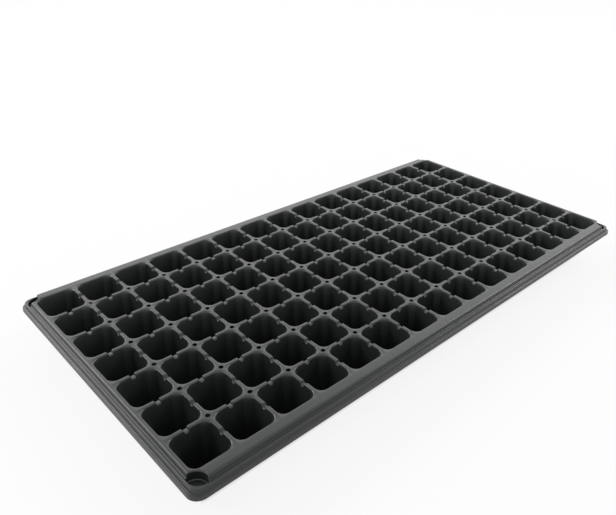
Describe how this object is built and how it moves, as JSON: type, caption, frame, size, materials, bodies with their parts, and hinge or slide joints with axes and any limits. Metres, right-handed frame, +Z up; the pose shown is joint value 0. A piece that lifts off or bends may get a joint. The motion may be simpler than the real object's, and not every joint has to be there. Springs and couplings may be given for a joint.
{
  "type": "plug tray",
  "caption": "Shallow black plug tray: a stiff grid of small tapered cells with drain holes, hung from a flat deck with a stepped rim and a round pocket at each corner.",
  "frame": {"origin": "under the middle of the tray, at the cells' bottoms, where it stands", "axes": "+X along the tray's long side, +Y across it, +Z up out of the cells"},
  "size_m": [0.54, 0.28, 0.042],
  "materials": {
    "sheet": "vacuum formed black polystyrene, satin"
  },
  "bodies": {
    "root": {"rim_left": "sheet", "rim_right": "sheet", "corner_front_left": "sheet", "corner_front_right": "sheet", "corner_back_left": "sheet", "corner_back_right": "sheet", "rim_front_columns_1_to_3": "sheet", "rim_front_columns_4_to_6": "sheet", "rim_front_columns_7_to_9": "sheet", "rim_front_columns_10_to_12": "sheet", "rim_front_columns_13_to_15": "sheet", "rim_back_columns_1_to_3": "sheet", "rim_back_columns_4_to_6": "sheet", "rim_back_columns_7_to_9": "sheet", "rim_back_columns_10_to_12": "sheet", "rim_back_columns_13_to_15": "sheet", "cells_row_1_columns_1_to_3": "sheet", "cells_row_1_columns_4_to_6": "sheet", "cells_row_1_columns_7_to_9": "sheet", "cells_row_1_columns_10_to_12": "sheet", "cells_row_1_columns_13_to_15": "sheet", "cells_row_2_columns_1_to_3": "sheet", "cells_row_2_columns_4_to_6": "sheet", "cells_row_2_columns_7_to_9": "sheet", "cells_row_2_columns_10_to_12": "sheet", "cells_row_2_columns_13_to_15": "sheet", "cells_row_3_columns_1_to_3": "sheet", "cells_row_3_columns_4_to_6": "sheet", "cells_row_3_columns_7_to_9": "sheet", "cells_row_3_columns_10_to_12": "sheet", "cells_row_3_columns_13_to_15": "sheet", "cells_row_4_columns_1_to_3": "sheet", "cells_row_4_columns_4_to_6": "sheet", "cells_row_4_columns_7_to_9": "sheet", "cells_row_4_columns_10_to_12": "sheet", "cells_row_4_columns_13_to_15": "sheet", "cells_row_5_columns_1_to_3": "sheet", "cells_row_5_columns_4_to_6": "sheet", "cells_row_5_columns_7_to_9": "sheet", "cells_row_5_columns_10_to_12": "sheet", "cells_row_5_columns_13_to_15": "sheet", "cells_row_6_columns_1_to_3": "sheet", "cells_row_6_columns_4_to_6": "sheet", "cells_row_6_columns_7_to_9": "sheet", "cells_row_6_columns_10_to_12": "sheet", "cells_row_6_columns_13_to_15": "sheet", "cells_row_7_columns_1_to_3": "sheet", "cells_row_7_columns_4_to_6": "sheet", "cells_row_7_columns_7_to_9": "sheet", "cells_row_7_columns_10_to_12": "sheet", "cells_row_7_columns_13_to_15": "sheet"}
  },
  "joints": []
}
